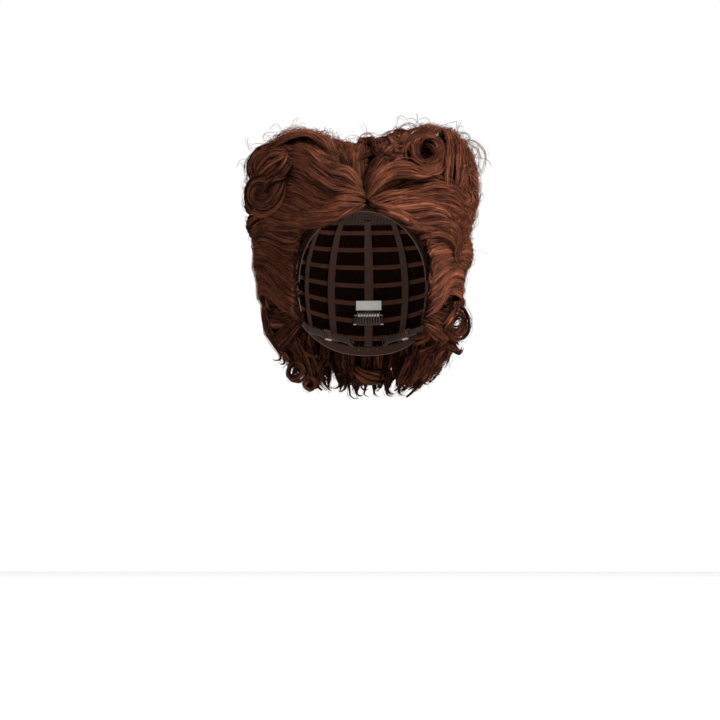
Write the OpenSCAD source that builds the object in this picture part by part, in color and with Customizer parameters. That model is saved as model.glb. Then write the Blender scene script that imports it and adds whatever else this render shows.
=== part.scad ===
// Costume wig in a heart-shaped upswept style, on a wefted cap.
// Frame: origin at the crown seat, the highest point inside the cap. +Z up, -Y towards the face, +X to the
// wearer's left. All sizes in millimetres.
// Places on the cap are given as az (0 at the face, 90 at +X, 180 at the nape) and el (degrees above the
// widest level of the head), seen from the middle of the head.

/* [Head] */
// Half the head's width inside the cap
head_half_width = 75; // [66:1:80]
// Half the head's length inside the cap
head_half_length = 94; // [86:1:100]
// Height of the crown above the head's widest level
crown_height = 95; // [88:1:102]
// Length that the head's taper towards the nape is drawn with
nape_taper = 125; // [110:1:140]

/* [Hair] */
// Hair thickness over the ears and the back
hair_depth = 24; // [20:1:28]
// Extra height of the two top lobes
lobe_height = 50; // [36:1:56]
// Share of the hair's depth that is left at the hairline
edge_share = 0.34; // [0.28:0.02:0.5]
// Gap between neighbouring hair sections, in degrees
section_gap = 0.8; // [0.6:0.1:1.2]

/* [Cap] */
// Width of the front and nape bands
band_width = 10; // [8:0.5:12]
// Width of a cap ribbon
ribbon_width = 8; // [6:0.5:10]
// Height of a machine weft
weft_height = 5; // [4:0.5:6]
// Number of weft rows between the nape and the crown
weft_rows = 8; // [6:1:9]

/* [Fittings] */
// Width of a snap clip between its eyes
clip_width = 30; // [26:1:32]
// Length of a clip's teeth
tooth_length = 14; // [11:1:15]
// Width of the nape straps
strap_width = 8; // [6:0.5:9]

/* [Hidden] */
centre = [0, 0, -crown_height];
// The face opening is an ellipse in az and el, and the hair ends below the ears at low_el.
face_half_az = 57.5;
face_half_el = 56;
face_mid_el = -25;
low_el = -36;
nape_drop = 19;
cap_nape_drop = 10;
ear_az = 76;
tab_top_el = -14;
step_az = 8;
// Layers, measured outwards from the head's surface.
band_layer = [-1.6, -0.6];
net_layer = [0.2, 1.0];
weft_layer = [1.6, 2.4];
tab_layer = [-0.5, 0.6];
stay_layer = [-1.5, -0.9];
hair_floor = 3.2;
// Fullness of the hair: [az, el, extra depth, spread in degrees].
fullness = [
    [-80, 57, lobe_height + 3, 21], [80, 57, lobe_height, 21],
    [-86, 29, 31, 19], [86, 30, 22, 18],
    [-30, 48, 8, 20], [32, 50, 9, 20], [0, 45, 8, 22], [0, 90, 3, 15],
    [180, 38, 14, 45], [-95, -5, 6, 24], [95, 0, 4, 24],
    [-100, -34, 8, 20], [98, -28, -9, 20], [180, -40, 18, 34]
];
// Edges between hair sections, in degrees.
crown_el = 64;
lobe_el = 42;
roll_el = 16;
temple_el = -10;
back_upper_el = 28;
back_low_el = -8;
side_az = 92;
back_az = 128;
// Snap clips: [name, az, el, turn about the outward direction, height of the pins over the head].
clips = [["front", 0, 42, 0, -4.6], ["left", 76, 4, -90, -5], ["right", -76, 4, 90, -5],
         ["nape", 180, -26, 0, -7.8]];
tooth_droop = 14;
eye_bore = 0.65;
pin_r = 0.6;
// Nape straps run straight between two points on the nape band.
strap_el = -39;
strap_az = [112, 164];
strap_sink = [-2.5, -6.5];
strap_lean = 24;
loop_bore = 1.1;
bar_r = 1.05;

// ---- shape of the head and the hair ----
function dir(az, el) = [sin(az) * cos(el), -cos(az) * cos(el), sin(el)];
function ease(t) = let (u = min(1, max(0, t))) u * u * (3 - 2 * u);
function head_r(az, el) =
    let (d = dir(az, el), c = d[2] >= 0 ? crown_height : nape_taper)
    1 / sqrt(pow(d[0] / head_half_width, 2) + pow(d[1] / head_half_length, 2) + pow(d[2] / c, 2));
function seat(az, el, off = 0) = centre + (head_r(az, el) + off) * dir(az, el);
function extra(az, el, f) =
    let (apart = acos(min(1, max(-1, dir(az, el) * dir(f[0], f[1])))))
    f[2] * exp(-pow(apart / f[3], 2));
function sum(v, i = 0) = i < len(v) ? v[i] + sum(v, i + 1) : 0;
function near_az(az) = abs(az > 180 ? az - 360 : az);
// 1 on the edge of the face opening, and larger further from it.
function face_rho(az, el) =
    sqrt(pow(near_az(az) / face_half_az, 2) + pow(max(0, el - face_mid_el) / face_half_el, 2));
function hair_r(az, el) =
    let (full = hair_depth + sum([for (f = fullness) extra(az, el, f)]),
         share = edge_share + (1 - edge_share) * ease((face_rho(az, el) - 1) / 0.5))
    head_r(az, el) + max(hair_floor + 4, full * share);
function face_el(az) =
    face_mid_el + face_half_el * sqrt(max(0, 1 - pow(near_az(az) / face_half_az, 2)));
function fall(az) = ease((near_az(az) - 80) / 80);
function hair_low(az) = low_el - nape_drop * fall(az);
function cap_low(az) = low_el - cap_nape_drop * fall(az);

// ---- shells that follow the head ----
// A closed solid between two radii, over a grid of [az, el] places.
module shell(grid, inner, outer) {
    n = len(grid);
    m = len(grid[0]);
    flat = [for (row = grid, p = row) p];
    points = concat([for (p = flat) centre + outer(p[0], p[1]) * dir(p[0], p[1])],
                    [for (p = flat) centre + inner(p[0], p[1]) * dir(p[0], p[1])]);
    k = n * m;
    rim = concat([for (i = [0:n - 2]) i * m], [for (j = [0:m - 2]) (n - 1) * m + j],
                 [for (i = [n - 1:-1:1]) i * m + m - 1], [for (j = [m - 1:-1:1]) j]);
    faces = concat(
        [for (i = [0:n - 2], j = [0:m - 2]) each
            let (a = i * m + j, b = a + m)
            [[a, a + 1, b + 1], [a, b + 1, b], [k + a, k + b + 1, k + a + 1], [k + a, k + b, k + b + 1]]],
        [for (q = [0:len(rim) - 1]) each
            let (a = rim[q], b = rim[(q + 1) % len(rim)])
            [[a, b, k + b], [a, k + b, k + a]]]
    );
    polyhedron(points, faces, convexity = 6);
}
// The same, all the way round and closed over the crown.
module dome(low, steps, inner, outer) {
    turns = round(360 / step_az);
    els = [for (j = [0:steps - 1]) low + (90 - low) * j / steps];
    ring = [for (el = els, i = [0:turns - 1]) [i * 360 / turns, el]];
    k = len(ring);
    points = concat(
        [for (p = ring) centre + outer(p[0], p[1]) * dir(p[0], p[1])], [centre + [0, 0, outer(0, 90)]],
        [for (p = ring) centre + inner(p[0], p[1]) * dir(p[0], p[1])], [centre + [0, 0, inner(0, 90)]]
    );
    s = k + 1;
    last = (steps - 1) * turns;
    faces = concat(
        [for (j = [0:steps - 2], i = [0:turns - 1]) each
            let (a = j * turns + i, b = j * turns + (i + 1) % turns)
            [[a, a + turns, b + turns], [a, b + turns, b],
             [s + a, s + b + turns, s + a + turns], [s + a, s + b, s + b + turns]]],
        [for (i = [0:turns - 1]) each
            let (a = last + i, b = last + (i + 1) % turns)
            [[a, k, b], [s + a, s + b, s + k]]],
        [for (i = [0:turns - 1]) each
            let (b = (i + 1) % turns)
            [[i, b, s + b], [i, s + b, s + i]]]
    );
    polyhedron(points, faces, convexity = 6);
}
function layer(off) = function (az, el) head_r(az, el) + off;
module cap_patch(grid, off) shell(grid, layer(off[0]), layer(off[1]));
module hair_patch(grid) shell(grid, layer(hair_floor), function (az, el) hair_r(az, el));

// A grid between two azimuths, with el running from low(az) to high.
function sector(az0, az1, low, high, rows) =
    let (g = section_gap / 2, n = max(2, ceil((az1 - az0) / step_az)))
    [for (i = [0:n])
        let (az = az0 + g + (az1 - az0 - 2 * g) * i / n, lo = low(az))
        [for (j = [0:rows]) [az, lo + g + (high - lo - 2 * g) * j / rows]]];
function level(el) = function (az) el;
// The lowest edge of the hair at an azimuth, in the form that sector() takes.
bottom = function (az) hair_low(az);

// ---- hair ----
module hair_colour() color([0.30, 0.12, 0.07]) children();
module crown_hair() hair_colour()
    dome(crown_el + section_gap / 2, 5, layer(hair_floor), function (az, el) hair_r(az, el));
// side is 1 at the wearer's left, where x is positive, and -1 at the right.
module front_wave(side) hair_colour() {
    t = [for (i = [0:9]) 1 + 88.5 * i / 9];
    grid = [for (a = side > 0 ? t : [for (i = [9:-1:0]) -t[i]])
        let (az = (face_half_az - section_gap / 2) * sin(a), lo = face_el(az))
        [for (j = [0:8]) [az, lo + (crown_el - section_gap / 2 - lo) * j / 8]]];
    hair_patch(grid);
}
module sided(side, az0, az1, low, high, rows) hair_colour()
    hair_patch(side > 0 ? sector(az0, az1, low, high, rows) : sector(-az1, -az0, low, high, rows));
module top_roll(side) sided(side, face_half_az, back_az, level(lobe_el), crown_el, 4);
module side_roll(side) sided(side, face_half_az, back_az, level(roll_el), lobe_el, 4);
module temple_hair(side) sided(side, face_half_az, side_az, level(temple_el), roll_el, 4);
module ear_hair(side) sided(side, face_half_az, side_az, bottom, temple_el, 4);
module side_back(side) sided(side, side_az, back_az, bottom, roll_el, 7);
module back_hair(low, high, rows) hair_colour()
    hair_patch(sector(back_az, 360 - back_az, low, high, rows));
// A curl that stands clear of the side hair as an open ring.
module loop_curl() hair_colour()
    translate([99, 22, -143]) rotate([78, 0, 14])
        rotate_extrude($fn = 28) translate([10, 0]) circle(r = 3.6, $fn = 16);
// A curl that flicks outwards below the ring.
module flick_curl() hair_colour() hull() {
    translate([86, 30, -172]) sphere(r = 6, $fn = 20);
    translate([104, 24, -170]) sphere(r = 3, $fn = 16);
}

// ---- cap ----
module crown_net() color([0.16, 0.09, 0.07]) dome(46, 6, layer(net_layer[0]), layer(net_layer[1]));
// A tape along the edge of the face opening, from rho 1 outwards.
module front_band() color([0.20, 0.11, 0.08]) {
    wide = band_width / (PI / 180 * crown_height * face_half_el);
    cap_patch([for (i = [-15:15])
        let (a = i * 5.1)
        [for (rho = [1 + wide, 1]) let (az = face_half_az * rho * sin(a))
            [az, face_mid_el + face_half_el * rho * cos(a)]]], band_layer);
}
function band_el() = band_width / (PI / 180 * head_half_length);
module nape_band() color([0.18, 0.10, 0.08]) {
    n = 26;
    cap_patch([for (i = [0:n])
        let (az = ear_az + 2 + (356 - 2 * ear_az) * i / n)
        [[az, cap_low(az)], [az, cap_low(az) + band_el()]]], band_layer);
}
module cap_ribbons() color([0.18, 0.10, 0.08])
    for (az = [96:28:264]) {
        half = ribbon_width / 2 / (PI / 180 * head_half_width);
        lo = cap_low(az) + band_el() + 1;
        cap_patch([for (a = [az - half, az + half])
            [for (j = [0:8]) [a, lo + (50 - lo) * j / 8]]], band_layer);
    }
// Weft rows rise from above the nape band to below the crown net's top.
module weft_row(i) color([0.24, 0.10, 0.06]) {
    el = -34 + 84 * (i - 1) / (weft_rows - 1);
    tall = weft_height / (PI / 180 * crown_height);
    edge = el < tab_top_el ? ear_az + 5
        : face_half_az * sqrt(max(0, 1 - pow((el - face_mid_el) / face_half_el, 2))) + 12;
    n = 28;
    cap_patch([for (k = [0:n])
        let (az = edge + (360 - 2 * edge) * k / n)
        [[az, el], [az, el + tall]]], weft_layer);
}
module size_label() color([0.85, 0.84, 0.80]) placed(180, -11, -3.2) cube([28, 11, 0.5], center = true);

// ---- ear tabs with their stays ----
function tab_az(side, a) = side > 0 ? a : -a;
module tab_grid(side, az0, az1, el0, el1, off) {
    as = [for (i = [0:3]) az0 + (az1 - az0) * i / 3];
    grid = [for (a = side > 0 ? as : [for (i = [3:-1:0]) as[i]])
        [for (j = [0:3]) [tab_az(side, a), el0 + (el1 - el0) * j / 3]]];
    cap_patch(grid, off);
}
module ear_tab(side) color([0.20, 0.11, 0.08])
    tab_grid(side, face_half_az + 0.8, ear_az - 2, low_el, tab_top_el, tab_layer);
module tab_stay(side) color([0.70, 0.71, 0.73])
    tab_grid(side, face_half_az + 4, face_half_az + 7, low_el + 2, tab_top_el - 2, stay_layer);

// ---- fittings ----
// Children are drawn with z outwards from the head, x level and y up.
module placed(az, el, off, turn = 0)
    translate(seat(az, el, off)) rotate([90 - el, 0, az]) rotate([0, 0, turn]) children();

module along_x(r, x0, x1) translate([x0, 0, 0]) rotate([0, 90, 0]) cylinder(r = r, h = x1 - x0, $fn = 32);
module clip_frame(c) color([0.72, 0.73, 0.75]) placed(c[1], c[2], c[4], c[3]) {
    reach = tooth_length - 2;
    half = clip_width / 2;
    difference() {
        union() {
            for (s = [-1, 1]) {
                along_x(1.4, s * half - 1.4, s * half + 1.4);
                translate([s * half - 0.8, 0.9, -0.4]) cube([1.6, reach - 0.9, 0.8]);
            }
            translate([0, reach, 0]) along_x(0.8, -half - 0.8, half + 0.8);
        }
        for (s = [-1, 1]) along_x(eye_bore, s * half - 2, s * half + 2);
    }
}
module clip_sleeve(c) color([0.88, 0.86, 0.82]) placed(c[1], c[2], c[4], c[3])
    translate([0, tooth_length - 2, 0]) difference() {
        along_x(1.8, 3 - clip_width / 2, clip_width / 2 - 3);
        along_x(0.85, 2 - clip_width / 2, clip_width / 2 - 2);
    }
module clip_comb(c) color([0.66, 0.67, 0.70]) placed(c[1], c[2], c[4], c[3]) {
    half = clip_width / 2;
    teeth = 9;
    pitch = (clip_width - 6) / (teeth - 1);
    translate([-half + 2, -1.2, -0.4]) cube([clip_width - 4, 2.4, 0.8]);
    for (s = [-1, 1]) along_x(pin_r, s * (half - 0.3) - 2, s * (half - 0.3) + 2);
    for (i = [0:teeth - 1])
        translate([-half + 3 + pitch * i - 0.6, 0.6, 0]) rotate([-tooth_droop, 0, 0])
            translate([0, 0, -0.35]) cube([1.2, tooth_length, 0.7]);
}

// Children are drawn with x along a strap from its side end, which is at the origin, and y across its faces.
function strap_end(side, k) = seat(tab_az(side, strap_az[k]), strap_el, strap_sink[k]);
strap_length = norm(strap_end(1, 1) - strap_end(1, 0));
module on_strap(side) {
    a = strap_end(side, 0);
    d = strap_end(side, 1) - a;
    translate(a) rotate([0, -atan2(d[2], norm([d[0], d[1]])), atan2(d[1], d[0])])
        rotate([side * strap_lean, 0, 0]) children();
}
module nape_strap(side) color([0.22, 0.13, 0.10]) on_strap(side) {
    translate([0, -0.5, -strap_width / 2]) cube([strap_length - 3, 1, strap_width]);
    translate([strap_length - 1.6, 0, -strap_width / 2]) difference() {
        cylinder(r = 2, h = strap_width, $fn = 32);
        translate([0, 0, -1]) cylinder(r = loop_bore, h = strap_width + 2, $fn = 32);
    }
}
module strap_slider(side) color([0.20, 0.12, 0.09]) on_strap(side)
    translate([strap_length / 2 - 2, 0, 0]) difference() {
        cube([9, 3.2, strap_width + 4], center = true);
        cube([10, 1.6, strap_width + 0.8], center = true);
        for (s = [-1, 1]) translate([s * 2.2, s * 2, 0]) cube([2, 3, strap_width], center = true);
    }
module strap_hook(side) color([0.72, 0.73, 0.75]) on_strap(side) translate([strap_length - 1.6, 0, 0]) {
    translate([0, 0, -strap_width / 2 - 1]) cylinder(r = bar_r, h = strap_width + 2, $fn = 32);
    for (s = [-1, 1]) translate([-0.9, -0.6, s * (strap_width / 2 + 1.1) - 0.6]) cube([6, 1.2, 1.2]);
    translate([4, -0.6, -strap_width / 2 - 1.6]) cube([1.4, 1.2, strap_width + 3.2]);
    translate([5.2, -0.6, -1.5]) cube([3, 1.2, 3]);
}
// Thread loops on the nape band that the hooks can be set in.
module hook_loops() color([0.16, 0.09, 0.07])
    for (az = [172, 180, 188]) placed(az, strap_el - 3.2, -4.2) difference() {
        cube([1.6, 6, 2.4], center = true);
        translate([0, 0, 0.6]) cube([3, 4, 2.4], center = true);
    }

// ---- what is drawn ----
for (s = [["left", 1], ["right", -1]]) {
    front_wave(s[1]);
    top_roll(s[1]);
    side_roll(s[1]);
    temple_hair(s[1]);
    ear_hair(s[1]);
    side_back(s[1]);
    ear_tab(s[1]);
    tab_stay(s[1]);
    nape_strap(s[1]);
    strap_slider(s[1]);
    strap_hook(s[1]);
}
for (c = clips) {
    clip_frame(c);
    clip_sleeve(c);
    clip_comb(c);
}
for (i = [1:weft_rows])
    weft_row(i);
crown_hair();
back_hair(level(back_upper_el), crown_el, 5);  // back_hair_upper
back_hair(level(back_low_el), back_upper_el, 5);  // back_hair_middle
back_hair(bottom, back_low_el, 6);  // nape_hair
loop_curl();  // loop_curl_left
flick_curl();  // flick_curl_left
crown_net();
cap_ribbons();
front_band();
nape_band();
size_label();
hook_loops();
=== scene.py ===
"""Costume wig: its hair, its finishes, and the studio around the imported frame."""
import math

import bpy
import numpy as np
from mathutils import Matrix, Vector


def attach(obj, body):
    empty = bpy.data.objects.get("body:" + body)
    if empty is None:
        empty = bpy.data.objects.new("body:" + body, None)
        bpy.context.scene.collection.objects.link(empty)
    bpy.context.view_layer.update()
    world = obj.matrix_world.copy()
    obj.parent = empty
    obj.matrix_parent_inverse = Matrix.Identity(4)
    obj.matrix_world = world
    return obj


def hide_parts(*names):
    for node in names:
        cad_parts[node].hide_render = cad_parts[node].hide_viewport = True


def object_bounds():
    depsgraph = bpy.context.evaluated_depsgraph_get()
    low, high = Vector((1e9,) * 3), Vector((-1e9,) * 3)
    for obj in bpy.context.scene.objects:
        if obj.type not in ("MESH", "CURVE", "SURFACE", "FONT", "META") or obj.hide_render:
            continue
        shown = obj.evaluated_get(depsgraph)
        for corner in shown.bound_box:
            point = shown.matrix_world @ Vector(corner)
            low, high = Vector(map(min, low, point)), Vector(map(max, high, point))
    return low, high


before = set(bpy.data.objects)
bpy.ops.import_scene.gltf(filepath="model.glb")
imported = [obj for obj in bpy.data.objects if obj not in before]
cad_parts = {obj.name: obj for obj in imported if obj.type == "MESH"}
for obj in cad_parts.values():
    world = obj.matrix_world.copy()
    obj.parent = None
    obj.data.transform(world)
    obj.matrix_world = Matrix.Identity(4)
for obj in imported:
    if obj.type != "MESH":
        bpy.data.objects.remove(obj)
cad_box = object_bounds()

# Lengths are in millimetres and angles in degrees until a mesh is made.
MM = 0.001
TAU = 2 * np.pi
BODY = "wig"
rng = np.random.default_rng(11)
uniform = rng.uniform

# ---- the view
CAMERA_SIDE, CAMERA_PITCH, CAMERA_RANGE = math.radians(3.0), math.radians(8.0), 1500.0
CAMERA_TARGET = np.array([0.0, 0.0, -186.0])
LENS, SENSOR, LENS_SHIFT = 72.1, 36.0, -0.00625
FLOOR_Z, FLOOR_REACH = -440.0, 6000.0
AHEAD = np.array([-math.sin(CAMERA_SIDE) * math.cos(CAMERA_PITCH),
                  math.cos(CAMERA_SIDE) * math.cos(CAMERA_PITCH), math.sin(CAMERA_PITCH)])
UP = np.cross([math.cos(CAMERA_SIDE), math.sin(CAMERA_SIDE), 0.0], AHEAD)
EYE = CAMERA_TARGET - CAMERA_RANGE * AHEAD

# ---- the hair's outer shape, as in the CAD
HALF_WIDTH, HALF_LENGTH, CROWN, NAPE = 75.0, 94.0, 95.0, 125.0
CENTRE = np.array([0.0, 0.0, -CROWN])
DEPTH, EDGE_SHARE, EDGE_REACH, HAIR_FLOOR, LEAST_HAIR = 24.0, 0.34, 0.5, 3.2, 4.0
FACE_HALF_AZ, FACE_HALF_EL, FACE_MID_EL = 57.5, 56.0, -25.0
LOW_EL = -36.0
# Where the hair stands out further: azimuth, elevation, how far, and over what angle.
FULLNESS = [
    (-80, 57, 53, 21), (80, 57, 50, 21), (-86, 29, 31, 19), (86, 30, 22, 18),
    (-30, 48, 8, 20), (32, 50, 9, 20), (0, 45, 8, 22), (0, 90, 3, 15),
    (180, 38, 14, 45), (-95, -5, 6, 24), (95, 0, 4, 24),
    (-100, -34, 8, 20), (98, -28, -9, 20), (180, -40, 18, 34),
]


def unit(v):
    """The vectors, each made one unit long."""
    return v / np.maximum(np.linalg.norm(v, axis=-1, keepdims=True), 1e-9)


def ease(t):
    """A smooth rise from 0 to 1 as t goes from 0 to 1."""
    u = np.clip(t, 0.0, 1.0)
    return u * u * (3 - 2 * u)


def even(count):
    """Even steps from 0 to 1."""
    return np.linspace(0, 1, count)


def spaced(values, count):
    """A few values set evenly along a path, read at count even steps of it."""
    return np.interp(even(count), even(len(values)), values)


def direction(az, el):
    """Unit directions from the head's centre; azimuth 0 is the face and 90 is +X."""
    az, el = np.radians(az), np.radians(el)
    return np.stack([np.sin(az) * np.cos(el), -np.cos(az) * np.cos(el), np.sin(el) + 0 * az], -1)


def angles(d):
    """The azimuth and elevation of unit directions."""
    az = np.degrees(np.arctan2(d[..., 0], -d[..., 1]))
    return az, np.degrees(np.arcsin(np.clip(d[..., 2], -1, 1)))


def head_radius(d):
    """How far the head's surface is from its centre."""
    tall = np.where(d[..., 2] >= 0, CROWN, NAPE)
    return 1 / np.sqrt((d[..., 0] / HALF_WIDTH) ** 2 + (d[..., 1] / HALF_LENGTH) ** 2
                       + (d[..., 2] / tall) ** 2)


def apart(d, centre):
    """The angle between the directions and the centre of a patch."""
    return np.degrees(np.arccos(np.clip(d @ centre, -1, 1)))


def hair_radius(d):
    """How far the hair's surface is from the head's centre."""
    full = DEPTH
    for az, el, extra, spread in FULLNESS:
        full = full + extra * np.exp(-(apart(d, direction(az, el)) / spread) ** 2)
    az, el = angles(d)
    rho = np.sqrt((np.abs(az) / FACE_HALF_AZ) ** 2
                  + (np.maximum(0, el - FACE_MID_EL) / FACE_HALF_EL) ** 2)
    share = EDGE_SHARE + (1 - EDGE_SHARE) * ease((rho - 1) / EDGE_REACH)
    return head_radius(d) + np.maximum(HAIR_FLOOR + LEAST_HAIR, full * share)


def face_el(az):
    """The upper edge of the face opening."""
    inside = np.maximum(0, 1 - (np.asarray(az, float) / FACE_HALF_AZ) ** 2)
    return FACE_MID_EL + FACE_HALF_EL * np.sqrt(inside)


def surface(d, off):
    """The point in direction d that is off the hair's surface by so much."""
    return CENTRE + (hair_radius(d) + off)[..., None] * d


def seen(x, z, lift=0.0):
    """Where the camera's sight line through (x, 0, z) first comes on, or nearest to, the hair's surface."""
    ray = unit(np.array([x, 0.0, z]) - EYE)
    before, behind = 180, 160
    far = np.linspace(CAMERA_RANGE - before, CAMERA_RANGE + behind, before + behind + 1)[:, None]
    p = EYE + far * ray - CENTRE
    gap = np.linalg.norm(p, axis=1) - hair_radius(unit(p)) - lift
    hits = np.nonzero(gap < 0)[0]
    k = hits[0] if len(hits) else int(np.argmin(gap))
    return unit(p[k]), gap[k] if not len(hits) else 0.0


# ---- curves
def lengths(curve):
    """How far along the curve each of its points is."""
    return np.concatenate([[0], np.cumsum(np.linalg.norm(np.diff(curve, axis=0), axis=1))])


def smooth(points, count):
    """A Catmull-Rom curve through the points, sampled at even steps of its length."""
    p = np.asarray(points, float)
    ends = np.vstack([2 * p[:1] - p[1:2], p, 2 * p[-1:] - p[-2:-1]])
    t = np.linspace(0, len(p) - 1, 10 * len(p))
    i = np.minimum(t.astype(int), len(p) - 2)
    u = (t - i)[:, None]
    a, b, c, d = ends[i], ends[i + 1], ends[i + 2], ends[i + 3]
    curve = 0.5 * (2 * b + (c - a) * u + (2 * a - 5 * b + 4 * c - d) * u ** 2
                   + (3 * b - a - 3 * c + d) * u ** 3)
    run = lengths(curve)
    at = np.linspace(0, run[-1], count)
    return np.stack([np.interp(at, run, curve[:, k]) for k in range(curve.shape[1])], 1)


def sampled(line, at):
    """The rows of a line at row numbers that may be fractions."""
    return np.stack([np.interp(at, np.arange(len(line)), line[:, k]) for k in range(line.shape[1])], 1)


def heading(line):
    """The unit directions that a line runs in."""
    return unit(np.gradient(line, axis=0))


def sideways(line, normals):
    """The unit directions that lie in the hair and cross the line."""
    return unit(np.cross(heading(line), normals))


def guide(controls, count, lift=(0.0,)):
    """Directions and lifts along a path of (x, z) seen from the front or (az, el, lift) on the head."""
    rows = []
    for c, rise in zip(controls, spaced(lift, len(controls))):
        d, off = seen(*c, rise) if len(c) == 2 else (direction(c[0], c[1]), c[2])
        rows.append([*(100 * d), off])
    track = smooth(rows, count)
    return np.column_stack([unit(track[:, :3]), track[:, 3]])


def on_hair(track, lift=0.0):
    """Points and outward normals of a track of directions and lifts."""
    d = unit(track[:, :3])
    return CENTRE + (hair_radius(d) + track[:, 3] + lift)[:, None] * d, d


def across(tracks, t):
    """The track at t, from 0 at the first guide to 1 at the last, between neighbouring guides."""
    where = t * (len(tracks) - 1)
    i = int(min(max(math.floor(where), 0), len(tracks) - 2))
    u = where - i
    return tracks[i] * (1 - u) + tracks[i + 1] * u


def hair_point(x, z, off):
    """The hair's surface at (x, z) as seen from the front, and its outward direction."""
    d, gap = seen(x, z)
    return surface(d, gap + off), d


def seen_path(path, lift, steps=22):
    """Points and normals over the hair along a path given as seen from the front."""
    return on_hair(guide(path, steps, lift), spaced(lift, steps))


def flat_path(path, depth, steps=22):
    """The same for a path in an upright plane at a depth behind the crown seat; all its normals are one."""
    return smooth([(x, depth, z) for x, z in path], steps), np.array([0.0, -1.0, 0.0])


# ---- materials
AUBURN = [
    (0.0, (0.0042, 0.0019, 0.0014)), (0.30, (0.0152, 0.0059, 0.0038)),
    (0.62, (0.0485, 0.0162, 0.0090)), (1.0, (0.1390, 0.0440, 0.0225)),
]


def new_material(name):
    """A material with nodes, and nothing in it but its own shader."""
    mat = bpy.data.materials.new(name)
    mat.use_nodes = True
    return mat


def feed(mat, node, values):
    """Sets a node's inputs, each to a constant or to the output socket that feeds it."""
    for name, value in values.items():
        if isinstance(value, bpy.types.NodeSocket):
            mat.node_tree.links.new(value, node.inputs[name])
        else:
            node.inputs[name].default_value = value
    return node


def add(mat, kind, values):
    """A new node of the material, fed with the values."""
    return feed(mat, mat.node_tree.nodes.new("ShaderNode" + kind), values)


def shaded(mat, values):
    """The material, once its own shader is fed with the values."""
    feed(mat, mat.node_tree.nodes["Principled BSDF"], values)
    return mat


def combine(mat, operation, *values):
    """A sum or product of constants and sockets."""
    node = add(mat, "Math", dict(enumerate(values)))
    node.operation = operation
    return node.outputs[0]


def place(mat):
    """Where a point is on the piece."""
    return add(mat, "TexCoord", {}).outputs["Object"]


def noise(mat, values):
    """How strong a noise texture is, from 0 to 1."""
    return add(mat, "TexNoise", values).outputs["Fac"]


def ramp(mat, factor, stops):
    """The colour at a factor, between stops."""
    node = add(mat, "ValToRGB", {"Fac": factor})
    while len(node.color_ramp.elements) < len(stops):
        node.color_ramp.elements.new(0.5)
    for element, (at, colour) in zip(node.color_ramp.elements, stops):
        element.position = at
        element.color = (*colour, 1)
    return node.outputs["Color"]


def relief(mat, height, strength, distance):
    """A normal tilted by the height; the distance is in metres."""
    return add(mat, "Bump", {"Height": height, "Strength": strength, "Distance": distance}).outputs["Normal"]


def streak(mat, across_scale, along_scale, detail):
    """Noise drawn out along the lock; the scales are in cycles per millimetre."""
    uv = add(mat, "UVMap", {})
    uv.uv_map = "run"
    stretch = add(mat, "Mapping", {"Vector": uv.outputs["UV"], "Scale": (across_scale, along_scale, 1)})
    return noise(mat, {"Vector": stretch.outputs["Vector"], "Scale": 1.0, "Detail": detail})


def toned(mat, base):
    """The hair's colour at a base shade, moved by the tone that each vertex carries: a random tone plus
    painted shade.
    """
    tone = add(mat, "Attribute", {})
    tone.attribute_name = "tone"
    return ramp(mat, combine(mat, "MULTIPLY_ADD", tone.outputs["Fac"], 0.35, base), AUBURN)


def lock_material():
    """Ribbons: streaks that run along the lock, in colour and in height."""
    mat = new_material("hair_lock")
    fine, middle = streak(mat, 2.2, 0.05, 2.0), streak(mat, 0.8, 0.03, 2.0)
    total = combine(mat, "MULTIPLY_ADD", fine, 0.9, -0.85)
    for value, amount in ((middle, 1.1), (streak(mat, 0.25, 0.02, 1.0), 0.6)):
        total = combine(mat, "ADD", total, combine(mat, "MULTIPLY", value, amount))
    height = combine(mat, "ADD", fine, middle)
    return shaded(mat, {"Base Color": toned(mat, total), "Normal": relief(mat, height, 0.6, 0.0007),
                        "Roughness": 0.62, "Specular IOR Level": 0.0})


def strand_material():
    """Single hairs: a shade that drifts slowly through the wig."""
    mat = new_material("hair_strand")
    drift = combine(mat, "MULTIPLY_ADD", noise(mat, {"Vector": place(mat), "Scale": 90.0}), 0.5, 0.22)
    return shaded(mat, {"Base Color": toned(mat, drift), "Roughness": 0.5, "Specular IOR Level": 0.0})


LOCK_LOOK, STRAND_LOOK = lock_material(), strand_material()


# ---- meshes
def make_mesh(name, verts, faces, uv, tone, material):
    """An object from arrays: verts in mm, faces as rows of corners, uv and tone per vertex."""
    mesh = bpy.data.meshes.new(name)
    mesh.vertices.add(len(verts))
    mesh.vertices.foreach_set("co", (verts * MM).astype(np.float32).ravel())
    mesh.loops.add(faces.size)
    mesh.loops.foreach_set("vertex_index", faces.astype(np.int32).ravel())
    mesh.polygons.add(len(faces))
    mesh.polygons.foreach_set("loop_start", np.arange(0, faces.size, faces.shape[1], dtype=np.int32))
    mesh.update(calc_edges=True)
    mesh.polygons.foreach_set("use_smooth", np.ones(len(faces), dtype=bool))
    layer = mesh.uv_layers.new(name="run")
    layer.uv.foreach_set("vector", uv[faces.ravel()].astype(np.float32).ravel())
    shade = mesh.attributes.new("tone", "FLOAT", "POINT")
    shade.data.foreach_set("value", tone.astype(np.float32))
    mesh.materials.append(material)
    piece = bpy.data.objects.new(name, mesh)
    bpy.context.scene.collection.objects.link(piece)
    return piece


def tube_faces(rings, around, base):
    """Quads between the rings of a tube whose corners are numbered from base."""
    i, j = np.meshgrid(np.arange(rings - 1), np.arange(around), indexing="ij")
    a = base + i * around + j
    b = base + i * around + (j + 1) % around
    return np.stack([a, b, b + around, a + around], -1).reshape(-1, 4)


def end_ring(first, around, turn):
    """Quads that close a ring with an even number of corners; turn, 1 or -1, is the way that they face."""
    a = first + np.arange(around // 2 - 1)
    b = 2 * first + around - 1 - a
    return np.stack([a, b, b - 1, a + 1][::turn], -1)


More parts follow.
